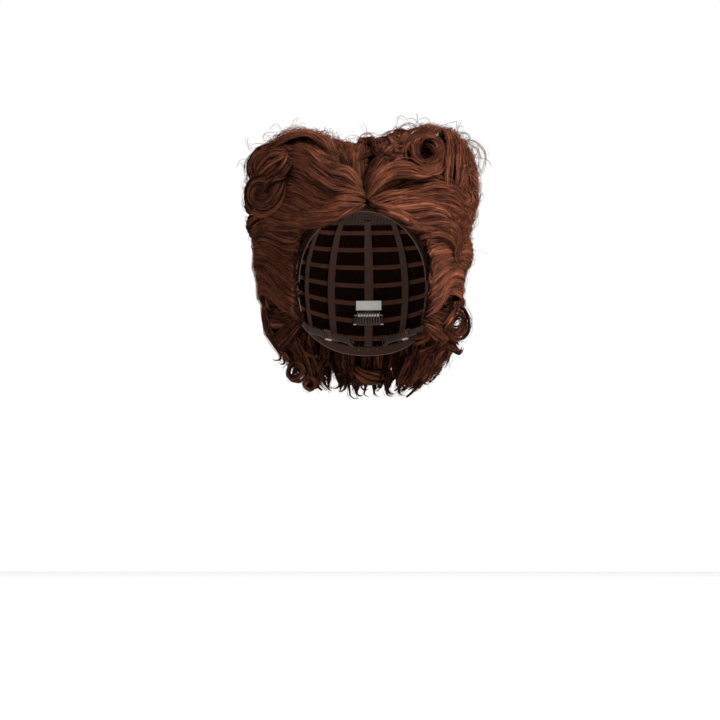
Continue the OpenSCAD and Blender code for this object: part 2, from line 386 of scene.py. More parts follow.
LOCK_PHI = np.concatenate([np.linspace(0, np.pi, 8), np.pi * (1 + np.arange(1, 5) / 5)])
STRAND_PHI = np.linspace(0, TAU, 3, endpoint=False)
ASKEW = [0.31, 0.52, 0.80]


def lock_shape(points, side, up, half_w, half_t, tone, seeds):
    """The rings, uv and tones of a fluted ribbon; the tones carry painted shade, darker at its sides and
    underneath than on its crest.
    """
    phi = LOCK_PHI
    s = even(len(points))[:, None]
    flute = (1 + 0.15 * np.sin(5 * phi + seeds[0] + 2.2 * s) + 0.10 * np.sin(7 * phi + seeds[1] - 3 * s)
             + 0.06 * np.sin(3 * phi + seeds[2] + 9 * s))
    x = np.cos(phi) * half_w[:, None] * (0.93 + 0.07 * flute)
    y = np.sin(phi) * half_t[:, None] * flute
    ring = points[:, None] + side[:, None] * x[..., None] + up[:, None] * y[..., None]
    u = np.abs(phi / np.pi - 1) * half_w.max() * 1.6 + seeds[3] * 40
    # Painted shade: the tone falls off from the crest to the sides and the underside of the ribbon.
    crest = np.clip(np.sin(phi), 0, 1)
    return ring, (u[None], lengths(points)[:, None]), tone[:, None] + 0.2 - 1.2 * (1 - crest[None]) ** 1.6


def strand_shape(line, radius, tone):
    """The same of a three-sided tube that thins out towards both ends."""
    phi = STRAND_PHI
    s = even(len(line))
    along = heading(line)
    side = unit(np.cross(along, ASKEW))
    up = np.cross(side, along)
    r = radius * (0.25 + 0.75 * np.minimum(1, 8 * np.minimum(s, 1 - s)))[:, None]
    ring = line[:, None] + side[:, None] * (r * np.cos(phi))[..., None] \
        + up[:, None] * (r * np.sin(phi))[..., None]
    return ring, (phi[None] / 6.3, s[:, None]), tone


def gathered(name, parts, shape, material):
    """One mesh of the tubes that the parts have; only a lock's ends are wide enough to need closing."""
    verts, faces, uvs, tones, base = [], [], [], [], 0
    for part in parts:
        ring, uv, tone = shape(*part)
        rings, around = ring.shape[:2]
        verts.append(ring.reshape(-1, 3))
        faces.append(tube_faces(rings, around, base))
        if shape is lock_shape:
            faces += [end_ring(base, around, 1), end_ring(base + (rings - 1) * around, around, -1)]
        uvs.append(np.stack(np.broadcast_arrays(*uv), -1).reshape(-1, 2))
        tones.append(np.broadcast_to(tone, (rings, around)).ravel())
        base += rings * around
    return make_mesh(name, np.vstack(verts), np.vstack(faces), np.vstack(uvs), np.concatenate(tones),
                     material)


# ---- locks and strands
def wander(count, size, waves=2.5):
    """A smooth random curve in three dimensions, of about the given size."""
    s = even(count)[:, None]
    phase, pace = uniform(0, TAU, (2, 3)), uniform(0.5, 1.0, (2, 3)) * waves
    return size * (np.sin(TAU * pace[0] * s + phase[0])
                   + 0.5 * np.sin(TAU * 2.3 * pace[1] * s + phase[1])) / 1.5


# Loose hair may pass the CAD's box by 9 mm and 3 percent of each side.
SPARE = np.array([0.03 * (high - low) / MM + 9.0 for low, high in zip(*cad_box)])
LOWEST, HIGHEST = np.array(cad_box[0]) / MM - SPARE, np.array(cad_box[1]) / MM + SPARE


def reined(line):
    """The hair, drawn in towards its root if it would stand too far off the wig."""
    away = line - line[0]
    room = np.where(away > 0, HIGHEST - line[0], LOWEST - line[0]) / np.where(np.abs(away) < 1e-6, 1e-6, away)
    return line[0] + away * min(1.0, float(np.abs(room).min()))


class Bundle:
    """Locks of hair, each a fluted ribbon with loose strands over it, gathered into two meshes."""

    def __init__(self):
        self.locks, self.strands = [], []

    def lock(self, points, normals, width, thick, strands=16, root=0.35, tip=0.12, tone=0.0,
             frizz=1.0, fray=0.08, dip=0.5):
        """A ribbon that is narrower and darker at its root and its tip, and the strands over it; the
        darkening is painted shade, as at ends tucked under other hair.
        """
        s = even(len(points))
        along = heading(points)
        side = unit(np.cross(along, normals))
        up = np.cross(side, along)
        body = (root + (1 - root) * ease(s / 0.25)) * (1 - (1 - tip) * ease((s - 0.5) / 0.5))
        half_w, half_t = width / 2 * body, thick / 2 * body ** 0.7
        # A random tone, then painted shade at the root and, by dip, at the tip; a negative dip paints the tip
        # lighter.
        tone = tone + rng.normal(0, 0.25) - 0.7 * np.exp(-s / 0.07) - dip * np.exp((s - 1) / 0.08)
        self.locks.append((points, side, up, half_w, half_t, tone, uniform(0, 6.28, 4)))
        for _ in range(strands):
            self.strand_over(points, side, up, half_w, half_t, tone, frizz, fray)

    def strand_over(self, points, side, up, half_w, half_t, tone, frizz, fray):
        """A strand that follows a lock at an angle round it; the share fray of them leave it."""
        n = len(points)
        s = even(n)
        phi = uniform(-0.05, 1.05) * np.pi \
            + 0.3 * np.sin(TAU * (s * uniform(0.3, 1.2) + uniform()))
        wide = np.maximum(half_w, half_w.max() * 0.42)
        reach = 1 + uniform(-0.05, 0.15)
        line = points + side * (np.cos(phi) * wide * reach)[:, None]
        line = line + up * (np.sin(phi) * half_t * reach + 0.15)[:, None]
        line = line + wander(n, 0.4 * frizz)
        if uniform() < fray:
            line = line + wander(n, 3.0 * frizz, 1.2) * (0.3 + s[:, None]) + up * (2.0 * s[:, None])
        start, stop = uniform(0, 0.12), uniform(0.86, 1.0)
        line = sampled(line, np.linspace(start, stop, max(9, (3 * n) // 5)) * (n - 1))
        # Painted shade: strands that lie over a lock's sides get a darker tone than those on its crest.
        crest = np.clip(np.sin(phi), 0, 1)
        shade = float(np.mean(tone)) + 0.35 - 0.9 * (1 - float(np.mean(crest))) ** 1.5
        self.strand(line, uniform(0.12, 0.24), shade + rng.normal(0, 0.5))

    def strand(self, line, radius, tone):
        """One single hair."""
        self.strands.append((reined(line), radius, tone))

    def build(self, name, *nodes):
        """Makes the meshes; they replace the nodes, or the node of the same name if none is given."""
        nodes = nodes or (name,)
        for kind, parts, shape, material in (("_locks", self.locks, lock_shape, LOCK_LOOK),
                                             ("_strands", self.strands, strand_shape, STRAND_LOOK)):
            if parts:
                piece = gathered(name + kind, parts, shape, material)
                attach(piece, BODY)
                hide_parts(*nodes)


# ---- ways of dressing hair
def sheet_of_locks(bundle, guides, count, width, lift, sway=1.4, wave=1.2, stray=3, tone=0.0, highlight_fade=0.0,
                   **more):
    """Locks side by side from the first guide to the last, each a little apart from the surface."""
    steps, thick, uneven = 24, 4.0, 1.6
    tracks = [guide(g, steps, lift) for g in guides]
    s = even(steps)
    rise = spaced(lift, steps)
    pace, phase = uniform(1.2, 2.0), uniform()
    for i in rng.permutation(count):
        t = (i + 0.5 + uniform(-0.45, 0.45)) / count
        crest = wave * np.sin(TAU * (s * pace + phase + 1.5 * t + rng.normal(0, 0.06)))
        up = uniform(-0.8, 1.0) * uneven
        points, normals = on_hair(across(tracks, t), rise + crest + up)
        swing = np.sin(TAU * (s * uniform(0.7, 1.5) + uniform()))
        points = points + sideways(points, normals) * (sway * swing)[:, None]
        # Painted light: locks lifted higher are toned lighter and sunk ones darker, and highlight_fade paints
        # a highlight that fades from the first guide to the last.
        bundle.lock(points, normals, width * rng.choice([0.5, 0.8, 1.1, 1.5]), thick * uniform(0.7, 1.2),
                    tone=tone - highlight_fade * t + 0.25 * up / uneven, **more)
        for _ in range(stray):
            crossing = np.clip(t + np.linspace(rng.normal(0, 0.02), rng.normal(0, 0.10), steps), 0, 1)
            track = np.array([across(tracks, c)[k] for k, c in enumerate(crossing)])
            line, _ = on_hair(track, rise + crest + thick * 0.5 + uniform(0, 2.2))
            a, b = sorted(uniform(0, 1, 2))
            a, b = (0.0, 1.0) if b - a < 0.3 else (a, b)
            line = sampled(line, np.linspace(a, b, steps) * (steps - 1))
            bundle.strand(line + wander(steps, 0.8), uniform(0.09, 0.16), rng.normal(0.7, 0.4))


def swirl(bundle, centre, radii, normal, turn, hole, bulge, locks, width, deep=9.0, arc=(170, 300),
          tilt=0.0, drift=0.25, dark=1.5, tone=0.0, **more):
    """A roll of hair: locks wound round a hole, over a rim that stands out along the normal, with painted
    shade towards the hole.
    """
    normal = unit(np.asarray(normal, float))
    flat = unit(np.cross([0.0, 0.0, 1.0], normal))
    tall = np.cross(normal, flat)
    a = math.radians(tilt)
    flat, tall = flat * math.cos(a) + tall * math.sin(a), tall * math.cos(a) - flat * math.sin(a)
    size = (radii[0] + radii[1]) / 2
    steps, last = 22, 59
    rim = smooth([(size, -deep), (1.03 * size, 0.4 * bulge), ((1 + hole) / 2 * size, bulge),
                  (hole * size, 0.3 * bulge), (0.85 * hole * size, -deep)], last + 1)
    slope = heading(rim)
    for i in rng.permutation(locks):
        t = np.clip((i + uniform(0.1, 0.9)) / locks + drift * (even(steps) - 0.5), 0, 1) * last
        r, lift = sampled(rim, t).T
        rise, out = sampled(slope, t).T
        theta = np.radians(uniform(0, 360) + turn * np.linspace(0, uniform(*arc), steps))
        radial = flat * np.cos(theta)[:, None] * radii[0] + tall * np.sin(theta)[:, None] * radii[1]
        middle = centre + (flat * rng.normal() + tall * rng.normal()) * 0.05 * size
        points = middle + radial * (r / size)[:, None] + normal * (lift + uniform(-1.2, 1.2))[:, None]
        faced = out[:, None] * unit(radial) - rise[:, None] * normal
        # Painted shade: locks near the hole are darkened, by dark, as shade in the roll's hollow.
        inside = -dark * float(ease((t.mean() / last - 0.55) / 0.35))
        bundle.lock(points, unit(faced), width * uniform(0.6, 1.3), 3.4, tone=tone + inside, **more)


def ringlet(bundle, path, radius, turns, locks, width, **more):
    """Locks that wind round a path like a loose corkscrew."""
    steps = 34
    core = smooth(path, steps)
    side = sideways(core, unit(core - CENTRE))
    front = np.cross(side, heading(core))
    s = even(steps)
    size = radius * (0.65 + 0.5 * np.sin(np.pi * np.clip(s * 1.1, 0, 1)))
    phase = uniform(0, 360)
    for i in range(locks):
        theta = np.radians(phase + 360 * (turns * s + i / locks))
        radial = side * np.cos(theta)[:, None] + front * np.sin(theta)[:, None]
        bundle.lock(core + radial * size[:, None], radial, width * uniform(0.85, 1.15), 3.2, **more)


def loop(bundle, root, out, size):
    """A few strands that leave the hair, bow out in a ring and come back."""
    out = unit(out + rng.normal(0, 0.35, 3))
    side = unit(np.cross(out, rng.normal(0, 1, 3)))
    steps = 22
    theta = np.radians(np.linspace(-150, uniform(40, 150), steps))
    for _ in range(3):
        r = size * uniform(0.92, 1.08)
        ring = root + out * (r * 0.75) + side * (r * np.cos(theta))[:, None] \
            + out * (r * np.sin(theta))[:, None]
        bundle.strand(ring + wander(steps, 0.5), uniform(0.08, 0.14), rng.normal(0.5, 0.3))


def combed(d):
    """The way the hair is combed at directions d, as unit tangents."""
    az, el = angles(d)
    east = np.stack([np.cos(np.radians(az)), np.sin(np.radians(az)), 0 * az], -1)
    north = unit(np.cross(d, east) * -1)
    north = north * np.sign(north[..., 2:3] + 1e-9)
    peak = direction(0.0, FACE_MID_EL + FACE_HALF_EL)
    away = unit(d * (d @ peak)[..., None] - peak)
    back = unit(east * np.sign(az)[..., None] + 0.35 * north)
    down = unit(-north + 0.25 * east * np.sin(np.radians(5 * az))[..., None])
    rear = ease((np.abs(az) - 100) / 40)[..., None]
    front = (ease((75 - np.abs(az)) / 25) * ease((el - 15) / 20))[..., None]
    return unit(front * away + (1 - front) * ((1 - rear) * back + rear * down))


# The holes of the rolls: where, over what angle, and how deep.
WELLS = [(seen(68, 35)[0], 5.2, 16.0), (seen(-103, 27)[0], 3.0, 12.0), (seen(-106, -5)[0], 2.5, 8.0)]


def well_depth(d):
    """How much further in the hair's mass lies under the holes of the rolls."""
    return sum(deep * np.exp(-(apart(d, centre) / reach) ** 4) for centre, reach, deep in WELLS)


def coat(bundle, az_range, el_range, count, width=9.0, lift=-3.0, length=60.0, tone=-0.8, strands=5):
    """An under-layer of locks, seeded over a stretch of the head, that follow the combing; its tone is dark,
    painted shade of hair that lies under the locks above it.

    A lock that would hang over the hole of a roll is left out.
    """
    steps, hole = 12, 4
    for _ in range(count):
        d = direction(uniform(*az_range), uniform(*el_range))
        rows = [d]
        reach = length * uniform(0.7, 1.3)
        for _ in range(steps - 1):
            d = unit(d + combed(d[None])[0] * reach / (steps - 1) / hair_radius(d))
            rows.append(d)
        if well_depth(np.array(rows)).max() > hole:
            continue
        s = even(steps)
        rise = lift + uniform(-1.5, 1.5) + 2.0 * np.sin(np.pi * s) - 2.0 * s
        points, normals = on_hair(np.column_stack([rows, rise]))
        bundle.lock(points, normals, width * uniform(0.7, 1.3), 3.6, tone=tone, strands=strands,
                    root=0.65, tip=0.4, fray=0.15)


def crimped(b, path, count):
    """Short crimped hairs that lie loosely along a path, as where a roll has been teased out."""
    shortest, longest = 8, 16
    points, normals = seen_path(path, (0, 0), 60)
    for _ in range(count):
        k = rng.integers(0, len(points) - longest)
        core = points[k:k + rng.integers(shortest, longest)]
        steps = len(core)
        s = even(steps)[:, None]
        curl, turns, phase = uniform(1.5, 4.5), uniform(0.8, 2.2), uniform(0, 6.28)
        out = normals[k:k + steps]
        side = sideways(core, out)
        theta = TAU * turns * s + phase
        ring = (side * np.sin(theta) + out * np.cos(theta)) * curl * (0.4 + 0.6 * s)
        line = core + ring + side * rng.normal(0, 6.5) + out[0] * uniform(-3, 4)
        b.strand(line + wander(steps, 0.7), uniform(0.12, 0.22), rng.normal(0.7, 0.4))


def tress(bundle, way, count, spread, width=6.0, loose=1.0, flare=0.0, **more):
    """A few locks side by side along one way, together rounded like a strand of many hairs."""
    core, normals = way
    s = even(len(core))
    side = sideways(core, normals)
    for i in rng.permutation(count):
        u = (i + 0.5) / count * 2 - 1 + rng.normal(0, 0.12)
        fan = spread * u * (0.55 + 0.45 * np.sin(np.pi * s) + flare * s * s)
        swing = 0.8 * loose * np.sin(TAU * (s * uniform(0.8, 1.6) + uniform()))
        sink = uniform(-1, 1) * loose - 0.5 * spread * u * u
        line = core + side * (fan + swing)[:, None] + normals * sink
        bundle.lock(line, unit(normals + 0.6 * u * side), width * uniform(0.7, 1.25), 3.2, **more)


def wound(bundle, ways, spread):
    """Tresses along the turns of a roll, each way a path with its lifts."""
    for path, lift in ways:
        tress(bundle, seen_path(path, lift), 4, spread, width=5, strands=18, loose=1.3, fray=0.2)


# ---- the hair's regions
def front_right():
    """The side of the parting on the wearer's right."""
    b = Bundle()
    coat(b, (-57, -2), (28, 64), 40, lift=-4)
    # The main sheet carries a painted highlight near the forehead, set by highlight_fade.
    sheet_of_locks(b, [
        [(-3, -23), (-19, -29), (-36, -36), (-54, -42), (-72, -41), (-89, -39), (-107, -34), (-119, -42)],
        [(-2, -22), (-19, -26), (-37, -31), (-55, -32), (-72, -29), (-88, -25), (-104, -24)],
        [(0, -19), (-19, -22), (-37, -25), (-56, -22), (-74, -14), (-88, -12)],
        [(1, -17), (-18, -15), (-37, -16), (-54, -13), (-71, -3), (-86, 6)],
        [(1, -15), (-15, -7), (-33, -2), (-51, 9), (-67, 21), (-84, 27)],
        [(1, -12), (-12, 4), (-30, 10), (-46, 20), (-60, 31), (-78, 37)],
        [(0, -8), (-11, 12), (-27, 18), (-42, 28), (-56, 38), (-72, 43)],
    ], 48, 6.5, lift=(-5, 3, 2, 4, -4), strands=20, stray=7, wave=2.4, tone=0.25, highlight_fade=0.5)
    sheet_of_locks(b, [
        [(1, -16), (-15, -10), (-33, -7), (-51, 3), (-67, 15), (-82, 22)],
        [(1, -14), (-14, -2), (-31, 4), (-48, 15), (-64, 27), (-80, 33)],
    ], 6, 6.0, lift=(-4, 5, 7, 5, -1), strands=24, stray=6, wave=1.0)
    b.build("front_wave_right")


def front_left():
    """The side of the parting on the wearer's left."""
    b = Bundle()
    coat(b, (2, 57), (28, 64), 40, lift=-4)
    # A painted highlight fades across the main sheet, set by highlight_fade.
    sheet_of_locks(b, [
        [(30, -31), (42, -40), (54, -47), (67, -50), (82, -53), (93, -64), (97, -76)],
        [(14, -25), (32, -33), (48, -40), (65, -41), (83, -43), (95, -54), (100, -66)],
        [(8, -21), (25, -25), (43, -28), (62, -28), (81, -31), (95, -43), (102, -54)],
        [(6, -19), (22, -19), (43, -18), (60, -15), (78, -16), (94, -25), (105, -38)],
        [(5, -18), (20, -12), (36, -9), (50, -4), (66, 0), (83, -3), (99, -14), (109, -28)],
    ], 40, 6.5, lift=(-5, 3, 2, 4, -2), strands=20, stray=7, wave=2.6, tone=0.25, highlight_fade=0.15)
    # The sheet under the swoosh is toned darker, painted shade beneath it.
    sheet_of_locks(b, [
        [(5, -18), (20, -12), (36, -8), (50, -3), (66, 1), (83, -2), (99, -13), (108, -27)],
        [(4, -16), (12, -5), (24, 2), (38, 5), (54, 5), (70, 8), (86, 5), (98, -4)],
    ], 12, 6.0, lift=(-5, 0, -4, -4, -1, -3), strands=18, stray=4, wave=1.2, tone=-0.4)
    # The swoosh is toned lighter, a painted highlight on the raised lock.
    sheet_of_locks(b, [
        [(3, -15), (8, 1), (16, 13), (27, 21), (41, 24), (53, 19), (65, 15), (76, 19)],
        [(3, -15), (10, -2), (19, 9), (31, 16), (45, 17), (57, 13), (67, 12), (77, 20)],
        [(4, -16), (13, -6), (23, 4), (36, 9), (50, 8), (61, 7), (70, 10), (78, 20)],
    ], 15, 6.5, lift=(-4, 8, 14, 17, 17, 17), strands=28, stray=6, wave=0.6, tip=0.05, tone=0.35)
    hooked = [(53, -36), (69, -34), (85, -36), (97, -45), (101, -60), (98, -74), (100, -83), (105, -80)]
    tress(b, seen_path(hooked, (-1, 5, 7, 7, 6)), 4, 4, width=5, strands=22)
    short = [(57, -56), (72, -51), (86, -54), (95, -66), (94, -78)]
    tress(b, seen_path(short, (-1, 5, 7, 5)), 3, 4, strands=20)
    b.build("front_wave_left")


def crown():
    """Hair combed back between the lobes, with tousled tresses and small curls on top."""
    b = Bundle()
    coat(b, (-180, 180), (58, 89), 110, lift=-3)
    sheet_of_locks(b, [
        [(-25, 16), (-29, 26), (-29, 35), (-33, 44), (-75, 76, -2), (-115, 76, -4)],
        [(-16, 8), (-19, 20), (-18, 30), (-20, 42), (-60, 80, -2), (-120, 80, -4)],
        [(-11, 4), (-12, 20), (-12, 31), (-13, 42), (-30, 82, -2), (-150, 84, -4)],
        [(-4, 0), (-6, 17), (-7, 30), (-7, 42), (0, 84, -2), (180, 84, -4)],
        [(2, -6), (2, 12), (1, 28), (0, 42), (20, 84, -2), (150, 84, -4)],
    ], 34, 5.0, lift=(-6, -1, -2), strands=22, tone=-0.3)
    ways = [
        ([(4, 52), (10, 43), (17, 34), (23, 23), (21, 12)], (4, 6, 6, 5, 2)),
        ([(-9, 36), (-3, 44), (6, 47), (16, 48), (26, 44), (34, 38)], (0, 3, 4, 3, 0)),
        ([(-1, -3), (4, 10), (11, 23), (20, 31), (28, 30), (32, 22)], (-3, 3, 6, 6, 4)),
        ([(27, 20), (34, 28), (39, 36), (43, 46), (48, 55)], (2, 5, 5, 2)),
        ([(-8, 26), (-1, 35), (8, 39), (17, 41), (27, 50)], (0, 3, 5, 2)),
        ([(2, -8), (8, 6), (15, 16), (26, 24), (36, 26)], (-4, 3, 5, 3)),
        ([(12, 8), (16, 24), (24, 38), (36, 46), (50, 44)], (-2, 4, 5, 4)),
        ([(32, 20), (36, 34), (33, 46), (24, 54), (12, 52)], (2, 4, 4, 2)),
        ([(44, 24), (42, 36), (48, 48), (60, 58), (72, 60)], (3, 5, 5, 3)),
    ]
    for path, lift in ways:
        tress(b, seen_path(path, lift), 3, 3.0, width=4.5, loose=1.6, strands=16, fray=0.25,
              tone=uniform(-0.4, 0.2))
    for x, z in ((2, 44), (16, 44), (30, 48), (40, 54), (22, 33), (36, 33)):
        centre, d = hair_point(x, z, 1)
        swirl(b, centre, (uniform(6, 10), uniform(5, 8)), unit(d + [0, -0.8, 0.3]), 1, hole=0.5,
              bulge=4, locks=9, width=3.0, deep=3, strands=9, fray=0.3)
    b.build("crown_hair")


def top_rolls():
    """The lobes at the top of each side: a barrel on the right, and a ring under three bands on the left."""
    right = Bundle()
    coat(right, (-128, -57), (42, 66), 46, lift=-4)
    centre, _ = hair_point(-104, 26, -5)
    swirl(right, centre, (21, 17), [-0.6, -0.76, 0.2], -1, hole=0.32, bulge=8, locks=30, width=5, deep=14,
          drift=0.12, tilt=-35, strands=14, fray=0.2, tone=-0.2)
    wound(right, [
        ([(-84, 41), (-92, 46), (-105, 44), (-117, 37), (-124, 27), (-124, 16), (-120, 8)], (0, 4, 4, 2, 0)),
        ([(-83, 39), (-93, 40), (-105, 34), (-114, 24), (-119, 14), (-118, 6)], (2, 8, 9, 7, 2)),
        ([(-82, 37), (-91, 33), (-100, 26), (-109, 17), (-116, 8)], (3, 9, 10, 8, 2)),
        ([(-82, 37), (-86, 27), (-92, 18), (-101, 11), (-110, 6)], (3, 8, 9, 6, 1)),
        ([(-81, 36), (-82, 25), (-87, 15), (-94, 9), (-102, 5)], (0, 4, 5, 3, 0)),
    ], 4.2)
    # The hollow under the arch is toned dark, painted shade.
    hollow = [(-28, 31), (-39, 39), (-51, 45), (-65, 48), (-78, 46), (-88, 42), (-96, 34)]
    tress(right, seen_path(hollow, (-5, -3, -3, -3, -2)), 5, 4.5, width=5, strands=12, tone=-0.9)
    # The arch is toned lighter, painted light on its top.
    arch = [(-33, 34), (-37, 45), (-47, 54), (-61, 58), (-75, 56), (-88, 51), (-99, 44), (-106, 36)]
    tress(right, seen_path(arch, (-3, 4, 5, 5, 4, 1)), 7, 5.5, width=5, strands=24, fray=0.25, root=0.6,
          tone=0.15)
    below = [(-25, 24), (-42, 30), (-54, 36), (-67, 40), (-81, 38)]
    tress(right, seen_path(below, (-3, 2, 3, 0)), 3, 3, width=5, strands=22)
    ridge = [(-30, 40), (-40, 50), (-54, 58), (-70, 60), (-86, 56), (-98, 48), (-108, 38), (-116, 28)]
    crimped(right, ridge, 300)
    crimped(right, [(-82, 44), (-96, 46), (-110, 38), (-118, 26), (-121, 12), (-120, -2)], 200)
    right.build("top_roll_right")

    left = Bundle()
    coat(left, (57, 128), (42, 66), 46, lift=-4)
    centre, _ = hair_point(66, 37, -4)
    swirl(left, centre, (17, 19), [-0.05, -1.0, 0.12], 1, hole=0.55, bulge=7, locks=30, width=4, deep=20,
          drift=0.3, strands=20, fray=0.25)
    for path in ([(48, 32), (50, 44), (60, 52), (72, 51), (79, 42), (78, 30), (70, 22), (60, 21)],
                 [(46, 24), (54, 17), (66, 15), (76, 20), (81, 30), (80, 42)],
                 [(52, 46), (50, 34), (55, 25), (66, 22), (75, 26), (77, 36), (72, 46)]):
        tress(left, seen_path(path, (2, 9, 10, 9, 3)), 3, 2.2, width=3.4, strands=18, loose=1.6, fray=0.35,
              tone=0.15)
    # A sunk tress toned dark, painted shade in the gap between the roll and the bands.
    tress(left, seen_path([(98, 54, -8), (92, 42), (96, 26), (97, 8), (96, -8)], (-4, -3, 0, 1, -2)), 7, 9,
          width=6, strands=12, tone=-0.7)
    # The bands are toned lighter, painted highlights along them.
    bands = [((97, 60, -6), (82, 52), (88, 38), (89, 22), (90, 5), (87, -3)),
             ((101, 53, -6), (91, 47), (97, 33), (99, 16), (100, 0), (97, -7)),
             ((106, 45, -6), (99, 40), (105, 27), (106, 10), (104, -8), (101, -16))]
    for band, high in zip(bands, (9, 9, 5)):
        tress(left, seen_path(band, (-3, high - 11, high - 4, high, high - 1, 0.3 * high)), 6, 2.8, width=3.8,
              strands=20, fray=0.2, root=0.7, tip=0.2, tone=0.3)
    ridge = [(50, 58), (62, 61), (74, 60), (86, 58), (95, 53), (101, 45), (107, 37), (113, 28), (116, 16)]
    crimped(left, ridge, 340)
    for path in ([(44, 26), (44, 42), (52, 54), (66, 59), (80, 56)], [(50, 18), (60, 12), (74, 12), (84, 20)],
                 [(40, 30), (38, 44), (44, 57), (56, 64), (68, 62)]):
        tress(left, seen_path(path, (0, 3, 3, 0)), 3, 2.5, width=4, strands=16, loose=1.5, fray=0.3, tone=0.2)
    left.build("top_roll_left")


def side_rolls():
    """The rolls at the sides: a wound nest on the right, and teased curls on the left."""
    right = Bundle()
    coat(right, (-128, -57), (16, 44), 40, lift=-4)
    centre, _ = hair_point(-107, -6, -4)
    swirl(right, centre, (21, 19.5), [-0.3, -0.95, -0.1], -1, hole=0.2, bulge=8, locks=30, width=5.5, deep=12,
          drift=0.15, strands=14, fray=0.2, tone=-0.2)
    wound(right, [
        ([(-84, 8), (-86, -10), (-93, -22), (-108, -27), (-122, -19), (-127, -5), (-124, 8)],
         (0, 4, 5, 4, 0)),
        ([(-86, 8), (-89, -7), (-97, -18), (-109, -20), (-119, -12), (-121, 0), (-115, 8)], (2, 8, 10, 8, 3)),
        ([(-88, 10), (-94, -3), (-101, -12), (-110, -12), (-114, -5), (-110, 3)], (3, 9, 11, 9, 4)),
        ([(-82, 12), (-92, 10), (-101, 6), (-107, 0), (-106, -7), (-100, -8)], (2, 9, 10, 7, 4)),
    ], 4.0)
    for path, lift in (
            ([(-60, -34), (-75, -33), (-90, -30), (-104, -28), (-116, -33), (-123, -42)], (-2, 3, 4, 3, 0)),
            ([(-60, -43), (-75, -43), (-90, -42), (-105, -38), (-116, -43), (-120, -50)], (-2, 2, 3, 2, 0))):
        tress(right, seen_path(path, lift), 5, 4, strands=20)
    right.build("side_roll_right")

    left = Bundle()
    coat(left, (57, 128), (16, 44), 40, lift=-4)
    # The left ringlets and curls are toned lighter, painted light on the side that faces the key light.
    for path in (((107, 34), (112, 18), (112, 0), (112, -18), (108, -34), (104, -50)),
                 ((98, 12), (102, -2), (102, -18), (104, -32), (100, -48), (98, -62))):
        core = seen_path(path, (-2, 0, 0, -2))[0]
        ringlet(left, core[::4], uniform(3.5, 5.5), uniform(2, 3), locks=6, width=3.2, strands=14,
                frizz=2.2, fray=0.35, tone=0.25)
    for x, z in ((102, 22), (105, 5), (104, -13), (103, -30), (99, -46), (96, -62), (94, -6), (93, -28),
                 (91, -50)):
        centre, d = hair_point(x, z, -1)
        size = (uniform(6, 10), uniform(7, 11))
        swirl(left, centre, size, unit(d + [0, -0.9, 0]), rng.choice([-1, 1]), hole=0.4, bulge=4, locks=12,
              width=3.0, strands=12, frizz=2.2, fray=0.35, tone=0.25)
    left.build("side_roll_left")
    cloud = Bundle()
    outer = [(103, 46), (112, 30), (114, 10), (114, -10), (112, -28), (108, -46), (103, -66), (99, -88)]
    crimped(cloud, outer, 520)
    crimped(cloud, [(96, 44), (103, 24), (105, 2), (104, -20), (101, -42), (97, -62)], 320)
    cloud.build("crimped_left", "side_roll_left")


RIGHT_SIDE = [
    [(-57, 26, -5), (-63, -45), (-76, -48), (-89, -47), (-103, -45), (-113, -49)],
    [(-57, 14, -5), (-68, -61), (-79, -60), (-91, -55), (-103, -51), (-111, -57)],
    [(-58, 6, -5), (-71, -75), (-81, -73), (-92, -66), (-103, -61), (-110, -65)],
    [(-58, -2, -5), (-72, -90), (-81, -86), (-92, -77), (-102, -70), (-110, -75)],
    [(-58, -11, -5), (-73, -104), (-82, -98), (-92, -87), (-102, -80), (-110, -84)],
    [(-58, -20, -5), (-73, -117), (-82, -110), (-93, -98), (-102, -90), (-110, -94)],
    [(-58, -29, -5), (-73, -128), (-82, -120), (-93, -108), (-102, -100), (-109, -106)],
    [(-58, -37, -5), (-72, -138), (-81, -132), (-92, -122), (-101, -114), (-107, -118)],
]
LEFT_SIDE = [
    [(56, 26, -5), (60, -43), (71, -47), (82, -51), (94, -57), (105, -59)],
    [(57, 14, -5), (64, -59), (74, -57), (84, -59), (95, -63), (106, -69)],
    [(58, 5, -5), (67, -75), (75, -71), (84, -69), (95, -71), (106, -79)],
    [(58, -5, -5), (69, -92), (77, -84), (85, -79), (95, -79), (104, -89)],
    [(58, -15, -5), (70, -107), (77, -99), (85, -91), (93, -89), (100, -99)],
    [(58, -25, -5), (70, -122), (77, -116), (83, -107), (91, -100), (97, -108)],
    [(58, -35, -5), (70, -135), (76, -130), (83, -120), (89, -112), (94, -120)],
]


def side_sheets():
    """Hair combed back and up from the edges of the face."""
    for sign, name, guides in ((-1, "right", RIGHT_SIDE), (1, "left", LEFT_SIDE)):
        b = Bundle()
        coat(b, tuple(sorted((sign * 60, sign * 100))), (-34, 24), 46, lift=-6)
        ends = [(sign * 112, 18 - 6 * k, -4) for k in range(len(guides))]
        rows = [g + [end] for g, end in zip(guides, ends)]
        # The tone rises with sign: the wearer's left is painted lighter and the right darker, as lit and
        # shaded sides.
        sheet_of_locks(b, rows, 52, 6.5, lift=(0, 1, 1, -3, -8), strands=16, stray=5, sway=1.6, wave=1.6,
                       tone=-0.1 + 0.2 * sign)
        for low, deep in ((-34, -9), (-37, -7), (-39, -4)):
            track = guide([(sign * az, low - dip, deep + rise) for az, dip, rise in
                           ((57, 0, 0), (68, 1, 2), (82, 2, 3), (97, 1, 2), (114, 4, 0))], 22)
            tress(b, on_hair(track), 4, 3.0, width=4.5, strands=18, loose=1.3, fray=0.2,
                  tone=-0.3 + 0.1 * sign)
        b.build("temple_hair_" + name, "temple_hair_" + name, "ear_hair_" + name)


